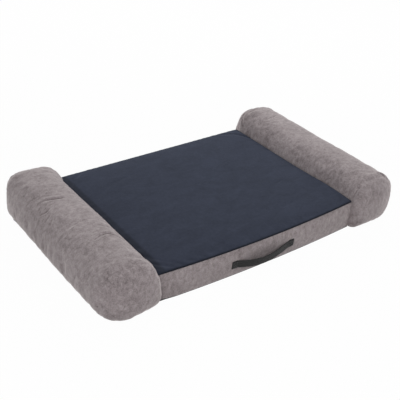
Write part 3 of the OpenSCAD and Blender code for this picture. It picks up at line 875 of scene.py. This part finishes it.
def webbing():
    """Woven polypropylene webbing: flat yarns with a soft gloss, in rows 2.2 mm apart that
    lean to and fro like a herringbone, and a denser edge."""
    material, tree = new_material("black_woven_webbing")
    place = add(tree, "TexCoord").outputs["Object"]
    apart = add(tree, "SeparateXYZ", {"Vector": place})
    fold = add(tree, "Math", {0: apart.outputs["Z"], 1: 0.0044}, operation="PINGPONG")
    lean = add(tree, "Math", {0: fold, 1: 0.8, 2: apart.outputs["X"]}, operation="MULTIPLY_ADD")
    turns = add(tree, "Math", {0: lean, 1: 2 * math.pi / 0.0022}, operation="MULTIPLY")
    yarn = add(tree, "Math", {0: turns}, operation="SINE")
    rows = add(tree, "Math", {0: apart.outputs["Z"], 1: 2 * math.pi / 0.0022}, operation="MULTIPLY")
    warp = add(tree, "Math", {0: rows}, operation="SINE")
    weave = add(tree, "Math", {0: warp, 1: 0.4, 2: yarn}, operation="MULTIPLY_ADD")
    fibre = add(tree, "TexNoise", {"Vector": place, "Scale": 1200, "Detail": 2})
    lift = add(tree, "Math", {0: fibre, 1: 0.6, 2: weave}, operation="MULTIPLY_ADD")
    bump = add(tree, "Bump", {"Height": lift, "Strength": 0.5, "Distance": 0.0005})
    tones = add(tree, "ValToRGB", {"Fac": weave}, [(0, "#111112"), (1, "#1e1e1f")])
    skin = add(tree, "BsdfPrincipled", {"Base Color": tones, "Roughness": 0.62,
               "Specular IOR Level": 0.25, "Sheen Weight": 0.05, "Normal": bump})
    add(tree, "OutputMaterial", {"Surface": skin})
    return material


black_web = webbing()


def strap_place(share, across, through=0.0):
    """A place of the free webbing: share along it and across it from -1 to 1. The left half
    hangs a little lower and stands out a little further."""
    tilt = (strap_tilt + strap_twist * share) * (1 - share**2) ** 2
    bow = (1 - share**2) ** 1.15
    x = handle_x + share * free_half
    y = front_line(x, handle_z) - top_layer - (strap_bow - top_layer) * bow * (1 - 0.24 * share)
    z = handle_z - strap_sag * bow * (1 - 0.16 * share)
    w = across * strap_w / 2
    return np.stack([x, y + w * np.sin(tilt) - through * np.cos(tilt),
                     z + w * np.cos(tilt) + through * np.sin(tilt)], 1)


def strap_run(name, start, end, columns):
    """A stretch of the webbing, between two shares of its length."""
    strap, u, v = grid(name, columns, 8)
    # the woven edges are drawn in a little, so the webbing is very slightly cupped
    put_points(strap, strap_place(between(start, end, u), v, 0.0003 * (1 - v**2)))
    thicken(strap, strap_t, 0)
    apply_modifier(strap, "BEVEL", width=0.0006, segments=2, limit_method="ANGLE")
    smooth(strap, 40)
    return strap


middle_web = strap_run("handle_strap_webbing", -swing_share, swing_share, 48)
wear(middle_web, black_web, "handle", "handle_strap")
for side, word in ((-1, "left"), (1, "right")):
    leg = strap_run(f"handle_{word}_leg_webbing", min(side, side * swing_share),
                    max(side, side * swing_share), 44)
    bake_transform(leg)
    wear(leg, black_web, None, f"handle_{word}_leg")


def on_band(side):
    """The frame of a stitched end: X along the band, Y into it and Z up."""
    x = handle_x + side * (handle_l - strap_end) / 2
    step = 0.001
    along = Vector((2 * step, front_line(x + step, handle_z) - front_line(x - step, handle_z), 0))
    upward = Vector((0, front_line(x, handle_z + step) - front_line(x, handle_z - step), 2 * step))
    along.normalize()
    inward = upward.cross(along).normalized()
    upward = along.cross(inward)
    turn = Matrix((along, inward, upward)).transposed().to_4x4()
    return Matrix.Translation((x, front_line(x, handle_z), handle_z)) @ turn


def merged(name, parts):
    """Joins the parts into the first of them."""
    only(*parts)
    bpy.ops.object.join()
    parts[0].name = parts[0].data.name = name
    return parts[0]


def one_stitch():
    """A stitch of bonded thread, 2.6 mm long, which dips into the cloth at both ends."""
    thread_r = 0.00042
    half = 0.0013
    thread = made(bpy.ops.mesh.primitive_uv_sphere_add, segments=8, ring_count=7, radius=thread_r,
                  rotation=(0, math.pi / 2, 0))
    bpy.ops.object.transform_apply(location=False, rotation=True, scale=False)
    co = points_of(thread)
    co[:, 0] *= half / thread_r
    co[:, 1] += 0.0003 * (co[:, 0] / half) ** 2
    put_points(thread, co)
    return thread


def thread_finish():
    """Bonded polyester thread, a shade lighter than the webbing, with a soft gloss."""
    material, tree = new_material("charcoal_polyester_thread")
    place = add(tree, "TexCoord").outputs["Object"]
    ply = add(tree, "TexNoise", {"Vector": place, "Scale": 1500, "Detail": 2})
    bump = add(tree, "Bump", {"Height": ply, "Strength": 0.5, "Distance": 0.0002})
    skin = add(tree, "BsdfPrincipled", {"Base Color": srgb("#2b2c2e"), "Roughness": 0.5,
               "Sheen Weight": 0.1, "Normal": bump})
    add(tree, "OutputMaterial", {"Surface": skin})
    return material


charcoal_thread = thread_finish()
stitches = []
for side, word in ((-1, "left"), (1, "right")):
    place = on_band(side)
    # the end of the webbing doubles back under itself, round a tight fold at its tip
    fold, u, v = grid(f"handle_{word}_end_webbing", 36, 8)
    bend = strap_t / 2
    length = strap_end - strap_t
    total = 2 * length + math.pi * bend
    s = (u + 1) / 2 * total
    turn = np.clip((s - length) / bend, 0, math.pi)
    x = np.where(s < length, s, np.where(s > total - length, total - s, length + bend * np.sin(turn)))
    depth = top_layer - bend * (1 - np.cos(turn))
    put_points(fold, side * (x - strap_end / 2), -depth, v * strap_w / 2 * side)
    thicken(fold, strap_t * 0.98, 0)
    apply_modifier(fold, "BEVEL", width=0.0005, segments=2, limit_method="ANGLE")
    edit(fold, bpy.ops.mesh.normals_make_consistent, inside=False)
    fold.data.transform(place)
    smooth(fold, 40)
    wear(fold, black_web, "mattress", f"handle_{word}_end")
    # a sewn box with a cross in it, 3 mm from the edges, in stitches 3.4 mm apart
    across, high = strap_end / 2 - 0.003, strap_w / 2 - 0.003
    corners = [(-across, -high), (across, -high), (across, high), (-across, high)]
    lines = [(corners[k], corners[(k + 1) % 4]) for k in range(4)]
    lines += [(corners[0], corners[2]), (corners[1], corners[3])]
    for a, b in lines:
        a, b = Vector(a), Vector(b)
        count = round((b - a).length / 0.0034)
        for k in range(count):
            at = a + (b - a) * (k + 0.5) / count
            thread = one_stitch()
            thread.data.transform(Matrix.Rotation(-math.atan2(b.y - a.y, b.x - a.x), 4, "Y"))
            thread.data.transform(Matrix.Translation((at.x, -off_band - 2 * strap_t - 0.00015, at.y)))
            thread.data.transform(place)
            stitches.append(thread)
sewing = merged("handle_box_stitching", stitches)
smooth(sewing)
wear(sewing, charcoal_thread, "mattress", "handle_stitching")


# Zips. Each is a chain of moulded teeth on two woven tapes, with a stop at either end and a
# lacquered slider with a hinged pull. One closes the back, and one lies low on each roll.
# Here they are made flat, with X along the chain and Z out of the cover, and then placed.
tooth_pitch = 0.0026
chain_low, chain_high = -0.0022, -0.0003
tape_w = 0.014
tape_z = -0.0028
slider_l, slider_w = 0.011, 0.0084
roof_t = 0.0012  # thickness of the slider's roof
pivot_z = 0.0023  # height of the bar that the pull turns round
pull_l = 0.018


def block(size, middle, soft=0.0003, segments=2):
    """A bevelled block, the start of most small hard parts."""
    piece = made(bpy.ops.mesh.primitive_cube_add, size=1, location=middle, scale=size)
    bpy.ops.object.transform_apply(location=True, rotation=False, scale=True)
    edit(piece, bpy.ops.mesh.bevel, offset=soft, segments=segments, affect="EDGES")
    return piece


def make_chain(length):
    """Two rows of teeth that mesh, on a narrow core."""
    count = int(length / tooth_pitch)
    teeth = []
    for step, side in ((0.25, 1), (0.75, -1)):
        x = -length / 2 + (step + 0.1) * tooth_pitch
        teeth.append(block((0.0011, 0.0034, 0.0013), (x, side * 0.0007, chain_high - 0.00065), 0.0002, 1))
    row = merged("teeth", teeth)
    apply_modifier(row, "ARRAY", count=count, use_relative_offset=False,
                   use_constant_offset=True, constant_offset_displace=(tooth_pitch, 0, 0))
    core = block((length, 0.0030, 0.0010), (0, 0, chain_low + 0.0005), 0.0002, 1)
    return merged("chain", [core, row])


def make_stops(length):
    """A metal clamp round the tapes at either end of the chain."""
    ends = [end * (length + 0.0034) / 2 for end in (-1, 1)]
    return merged("stops", [block((0.003, 0.007, 0.0028), (x, 0, -0.0008), 0.0006, 3) for x in ends])


def make_slider():
    """A roof with two legs that hold the chain, and the bridge that the pull hangs from."""
    roof = block((slider_l, slider_w, roof_t), (0, 0, roof_t / 2), 0.0004, 3)
    co = points_of(roof)
    # the roof narrows to where the chain closes
    co[:, 1] *= np.where(co[:, 0] < 0, 1 - 0.16 * np.clip(-co[:, 0] / (slider_l / 2), 0, 1) ** 2, 1)
    put_points(roof, co)
    leg_y = slider_w / 2 - 0.00068
    legs = [block((slider_l - 0.001, 0.0013, 0.0021), (0, side * leg_y, -0.00085)) for side in (-1, 1)]
    feet = [block((0.0015, 0.002, 0.0034), (end * 0.00225, 0, roof_t + 0.0016)) for end in (-1, 1)]
    bridge = block((0.006, 0.002, 0.0012), (0, 0, roof_t + 0.0028), 0.0004, 3)
    return merged("slider", [roof, bridge] + legs + feet)


def make_pull():
    """A flat tongue with a raised rim, on two arms that turn round a bar."""
    bar = made(bpy.ops.mesh.primitive_cylinder_add, vertices=20, radius=0.00072, depth=0.0054,
               rotation=(math.pi / 2, 0, 0))
    bpy.ops.object.transform_apply(location=True, rotation=True, scale=True)
    edit(bar, bpy.ops.mesh.bevel, offset=0.00015, segments=2, affect="EDGES")
    arms = [block((0.0052, 0.0010, 0.0014), (-0.0025, side * 0.00215, 0)) for side in (-1, 1)]
    tongue = block((pull_l - 0.0047, 0.006, 0.0015), (-(0.0045 + pull_l) / 2 + 0.0001, 0, 0), 0.0001, 1)
    co = points_of(tongue)
    tip = np.clip((-co[:, 0] - (pull_l - 0.003)) / 0.003, 0, 1)
    co[:, 1] *= 1 - 0.42 * tip**2
    waist = np.clip(1 + (co[:, 0] + 0.0065) / 0.002, 0, 1)
    co[:, 1] *= 1 - 0.1 * waist
    put_points(tongue, co)
    edit(tongue, bpy.ops.mesh.inset, lambda face: abs(face.normal.z) > 0.99 and face.area > 1e-5,
         thickness=0.0009, depth=-0.00025)
    return merged("pull", [tongue, bar] + arms)


def section(turn, inset):
    """Place round the right roll's section, for a layer that lies inset from its cover."""
    x = roll_x + grown(np.cos(turn)) * (half_w - inset)
    z = roll_z + grown(np.sin(turn)) * (half_h - inset)
    return x, z


def make_tapes(length, bent):
    """Two woven tapes whose inner edges lie on either side of the chain. On a roll they
    bend with its section, and then they are made in place."""
    parts = []
    for side in (-1, 1):
        tape, u, v = grid("tape", 100, 8)
        across = side * (0.0002 + tape_w * (v + 1) / 2)
        along = u * length / 2
        if bent:
            step = 0.001
            ahead, behind = section(zip_turn + step, 0), section(zip_turn - step, 0)
            speed = math.hypot(ahead[0] - behind[0], ahead[1] - behind[1]) / (2 * step)
            x, z = section(zip_turn + across / speed, -tape_z)
            put_points(tape, bent * x, along, z)
        else:
            put_points(tape, along, across, tape_z)
        thicken(tape, 0.0008, 0)
        edit(tape, bpy.ops.mesh.normals_make_consistent, inside=False)
        parts.append(tape)
    return merged("tapes", parts)


def tape_finish():
    """Woven polyester tape, dyed black: a fine twill, 1.2 mm from rib to rib."""
    material, tree = new_material("black_zip_tape")
    place = add(tree, "TexCoord").outputs["Object"]
    ribs = add(tree, "TexWave", {"Vector": place, "Scale": 2 * math.pi / 0.0012 / 20, "Distortion": 0.4,
               "Detail": 1}, bands_direction="DIAGONAL")
    bump = add(tree, "Bump", {"Height": ribs.outputs[1], "Strength": 0.5, "Distance": 0.0003})
    skin = add(tree, "BsdfPrincipled", {"Base Color": srgb("#232428"), "Roughness": 0.85,
               "Sheen Weight": 0.15, "Normal": bump})
    add(tree, "OutputMaterial", {"Surface": skin})
    return material


def moulded_finish():
    """Moulded nylon, black: smooth with a low gloss and faint flow marks."""
    material, tree = new_material("black_moulded_nylon")
    place = add(tree, "TexCoord").outputs["Object"]
    marks = add(tree, "TexNoise", {"Vector": place, "Scale": 800, "Detail": 3})
    gloss = add(tree, "MapRange", {"Value": marks, "To Min": 0.34, "To Max": 0.5})
    skin = add(tree, "BsdfPrincipled", {"Base Color": srgb("#26272a"), "Roughness": gloss, "IOR": 1.48})
    add(tree, "OutputMaterial", {"Surface": skin})
    return material


def lacquered_finish():
    """Die-cast zinc under gunmetal lacquer, rubbed brighter along its edges."""
    material, tree = new_material("gunmetal_lacquered_zinc")
    place = add(tree, "TexCoord").outputs["Object"]
    marks = add(tree, "TexNoise", {"Vector": place, "Scale": 1500, "Detail": 3})
    edge = add(tree, "NewGeometry").outputs["Pointiness"]
    rubbed = add(tree, "MapRange", {"Value": edge, "From Min": 0.52, "From Max": 0.62})
    tones = add(tree, "ValToRGB", {"Fac": rubbed}, [(0, "#4d4e54"), (1, "#85868c")])
    gloss = add(tree, "MapRange", {"Value": marks, "To Min": 0.28, "To Max": 0.42})
    skin = add(tree, "BsdfPrincipled", {"Base Color": tones, "Metallic": 0.9, "Roughness": gloss})
    add(tree, "OutputMaterial", {"Surface": skin})
    return material


black_tape = tape_finish()
black_nylon = moulded_finish()
gunmetal = lacquered_finish()

zip_x, zip_low = (float(v) for v in section(zip_turn, 0))
zips = [("zip", "main", 0, Matrix(((1, 0, 0, 0), (0, 0, 1, back_y), (0, -1, 0, zip_z), (0, 0, 0, 1))))]
for side, word in ((1, "right"), (-1, "left")):
    facing = zip_out(side)
    beside = facing.cross(Vector((0, 1, 0)))
    turn = Matrix((Vector((0, 1, 0)), beside, facing)).transposed().to_4x4()
    zips.append((word + "_zip", word, side, Matrix.Translation((side * zip_x, 0, zip_low)) @ turn))

for prefix, word, side, place in zips:
    low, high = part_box(prefix + "_chain")
    length = high.y - low.y if side else high.x - low.x
    parked = place @ Matrix.Translation((length / 2 - slider_l / 2 - 0.0005, 0, 0))
    hinged = parked @ Matrix.Translation((0, 0, pivot_z))
    tapes = make_tapes(length + 0.016, side)
    for part, piece, at, node, body, finish, slot in (
        ("tapes", tapes, Matrix() if side else place, "_tapes", "mattress", black_tape, "zip_tape"),
        ("chain", make_chain(length), place, "_chain", "mattress", black_nylon, "zip_nylon"),
        ("stops", make_stops(length), place, "_end_stops", "mattress", gunmetal, "zip_metal"),
        ("slider", make_slider(), parked, "_slider", word + "_slider", gunmetal, "zip_metal"),
        ("pull", make_pull(), hinged, "_pull", word + "_pull", gunmetal, "zip_metal"),
    ):
        piece.data.transform(at)
        piece.name = piece.data.name = f"{word}_zip_{part}_made"
        smooth(piece, 40)
        wear(piece, finish, body, prefix + node)


# Inner layers. A firm lower foam and a softer one above it lie in a thin fitted protector.
# Each roll's fibre filling has an inner case. Velour walls part the foam from the rolls.
foam_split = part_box("memory_foam")[0].z
liner_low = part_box("foam_liner")[0].z
liner_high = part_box("foam_liner")[1].z - crown
thin_t = 0.0006  # the cloth of the protector and of the rolls' inner cases
foam_in = 0.0036  # the foam lies this far inside the cover
cover_in = roll_x - half_w  # inner side of the right roll's cover
case_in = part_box("right_roll_case")[0].x - cover_in
fill_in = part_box("right_roll_filling")[0].x - cover_in


def foam_form(name, low, high, inset, crowned, soft):
    """A block that lies inset from the cover. crowned is 1 where its top is crowned as the
    panel is, and 0 where it is flat. soft is the radius of its upper edges."""
    piece = made(bpy.ops.mesh.primitive_cube_add, size=2)
    piece.name = piece.data.name = name
    edit(piece, bpy.ops.mesh.subdivide, number_cuts=38)
    # the points lie closer together near the edges
    ball = np.sin(points_of(piece) * math.pi / 2)
    u, v, w = ball.T
    x = u * (half_l - inset)
    z = between(low, high, w)
    front = front_line(x, z) + inset
    back = back_y - inset - sheet_t
    half = np.stack(np.broadcast_arrays(half_l - inset, (back - front) / 2, (high - low) / 2), 1)
    # the edges are rounded, those of the upper face the most
    radius = (0.002 + (soft - 0.002) * (w + 1) / 2)[:, None]
    inner = np.clip(ball * half, radius - half, half - radius)
    out = ball * half - inner
    place = inner + out * radius / np.linalg.norm(out, axis=1)[:, None]
    x, y, z = place.T
    y += front + half[:, 1]
    z += (high + low) / 2 + crown * (1 - u**4) * (1 - v**4) * crowned * (w + 1) / 2
    # the lower front corner on the left is pressed up with the cover round it
    z += foot(x) * bell(y - front, 0.014) * (w < -0.999)
    put_points(piece, x, y, z)
    smooth(piece)
    return piece


def foam(name, low_tone, high_tone, pore):
    """Open-cell polyurethane foam, sawn to size: matt, with pores of the given size that
    are cut open at the face, and a slow drift in tone from the pour."""
    material, tree = new_material(name)
    place = add(tree, "TexCoord").outputs["Object"]
    pores = add(tree, "TexVoronoi", {"Vector": place, "Scale": 1 / pore}, feature="F1")
    drift = add(tree, "TexNoise", {"Vector": place, "Scale": 9, "Detail": 3})
    mixed = add(tree, "Mix", {"Factor": 0.4, "A": drift, "B": pores.outputs["Distance"]},
                data_type="FLOAT")
    tones = add(tree, "ValToRGB", {"Fac": mixed}, [(0.25, high_tone), (0.7, low_tone)])
    bump = add(tree, "Bump", {"Height": pores.outputs["Distance"], "Strength": 0.6, "Distance": 0.0005},
               invert=True)
    skin = add(tree, "BsdfPrincipled", {"Base Color": tones, "Roughness": 0.95,
               "Specular IOR Level": 0.15, "Normal": bump})
    add(tree, "OutputMaterial", {"Surface": skin})
    return material


def plain_cloth(name, low_tone, high_tone, thread, shine):
    """Plain woven or bonded white cloth whose threads lie the given distance apart."""
    material, tree = new_material(name)
    place = add(tree, "TexCoord").outputs["Object"]
    weave = add(tree, "TexVoronoi", {"Vector": place, "Scale": 1 / thread, "Randomness": 0.15},
                feature="F1")
    tints = add(tree, "TexNoise", {"Vector": place, "Scale": 14, "Detail": 4})
    tones = add(tree, "ValToRGB", {"Fac": tints}, [(0.3, low_tone), (0.7, high_tone)])
    bump = add(tree, "Bump", {"Height": weave.outputs["Distance"], "Strength": 0.4, "Distance": 0.0004},
               invert=True)
    skin = add(tree, "BsdfPrincipled", {"Base Color": tones, "Roughness": 1 - shine,
               "Sheen Weight": 0.2, "Normal": bump})
    add(tree, "OutputMaterial", {"Surface": skin})
    return material


def loose_fibre():
    """Crimped hollow polyester fibre, white and matt, in soft clumps of a few centimetres."""
    material, tree = new_material("white_crimped_fibre")
    place = add(tree, "TexCoord").outputs["Object"]
    clump = add(tree, "TexNoise", {"Vector": place, "Scale": 30, "Detail": 5, "Distortion": 1.2})
    strands = add(tree, "TexNoise", {"Vector": place, "Scale": 420, "Detail": 3, "Distortion": 4})
    lift = add(tree, "Math", {0: strands, 1: 0.4, 2: clump}, operation="MULTIPLY_ADD")
    bump = add(tree, "Bump", {"Height": lift, "Strength": 0.7, "Distance": 0.003})
    tones = add(tree, "ValToRGB", {"Fac": clump}, [(0.3, "#dcdad6"), (0.6, "#f3f2ef")])
    skin = add(tree, "BsdfPrincipled", {"Base Color": tones, "Roughness": 0.9, "Sheen Weight": 0.4,
               "Normal": bump})
    add(tree, "OutputMaterial", {"Surface": skin})
    return material


lower = foam_form("firm_foam_block", 0.0032, foam_split - 0.0002, foam_in, crowned=0, soft=0.003)
wear(lower, foam("grey_firm_foam", "#b4b8bf", "#d0d3d8", 0.0009), "mattress", "support_foam")
upper = foam_form("soft_foam_block", foam_split, liner_high - 2 * thin_t, foam_in, crowned=1, soft=0.010)
wear(upper, foam("cream_memory_foam", "#ddd6b8", "#efe9d0", 0.0005), "mattress", "memory_foam")

# The protector hangs over the foam, and its elastic hem draws small gathers into its sides
protector = foam_form("foam_protector", liner_low, liner_high, 0.0024, crowned=1, soft=0.010)
edit(protector, bpy.ops.mesh.delete,
     lambda face: face.center.z < liner_low + 0.002 + foot(face.center.x), type="FACE")
co = points_of(protector)
no = points_of(protector, "normal")
hanging = 1 - eased(co[:, 2], liner_low, liner_low + 0.05)
gathers = 0.5 + 0.5 * np.sin((co[:, 0] + co[:, 1]) * 2 * math.pi / 0.011 + 2 * np.sin(co[:, 0] * 40))
co -= no * (0.0007 * hanging * gathers)[:, None]
put_points(protector, co)
thicken(protector, thin_t)
smooth(protector)
wear(protector, plain_cloth("white_coated_protector", "#d8d6cf", "#e6e4dd", 0.0006, 0.3), "mattress",
     "foam_liner")


def give_way(co, closed, gap):
    """Presses the places in by gap from a closed cover wherever they come closer to it."""
    for k, place in enumerate(co):
        near, out, _, _ = closed.find_nearest(Vector(place))
        depth = (near - Vector(place)).dot(out)
        if depth < gap:
            co[k] -= np.array(out) * (gap - depth)
    return co


case_cloth = plain_cloth("white_bonded_case_cloth", "#d9d8d3", "#e9e8e4", 0.0011, 0.15)
fibre = loose_fibre()
wall_low, wall_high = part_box("right_partition")
for side, word, closed in ((1, "right", right_inside), (-1, "left", left_inside)):
    wall, u, v = grid(word + "_wall_cloth", 60, 12)
    y = between(wall_low.y, wall_high.y, u)
    slack = 0.0003 * np.sin(y * 55 + 3 * side) * (1 - v**2)
    # its upper edge is drawn down with the panel's rim
    z = between(wall_low.z + 0.0006, wall_high.z - 0.0049, v)
    put_points(wall, side * (half_l - 0.001 + slack), y, z)
    thicken(wall, sheet_t, 0)
    smooth(wall)
    wear(wall, tube_velour, "mattress", word + "_partition")
    for layer, inset, lumps, finish, slot in (
        ("case", case_in, 0.0010, case_cloth, "liner_cloth"),
        ("filling", fill_in, 0.0012, fibre, "fibre_filling"),
    ):
        core = roll_form(inset, lambda y, turn: inset)
        co = points_of(core)
        no = points_of(core, "normal")
        waves = np.sin(co[:, 0] * 71 + side) * np.sin(co[:, 1] * 53) * np.sin(co[:, 2] * 67 + 1)
        seam = 0.0015 * bell(co[:, 1], 0.006) if layer == "case" else 0
        co -= no * (lumps * (0.5 + 0.5 * waves) + seam)[:, None]
        co[:, 0] *= side
        co = give_way(co, closed, pile_t + inset - case_in + 0.0009)
        co[:, 2] = np.maximum(co[:, 2], inset)
        put_points(core, co)
        if side < 0:
            edit(core, bpy.ops.mesh.flip_normals)
        if layer == "case":
            thicken(core, thin_t)
        core.name = core.data.name = f"{word}_roll_{layer}_stuffed"
        smooth(core)
        wear(core, finish, "mattress", f"{word}_roll_{layer}")


low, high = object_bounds()
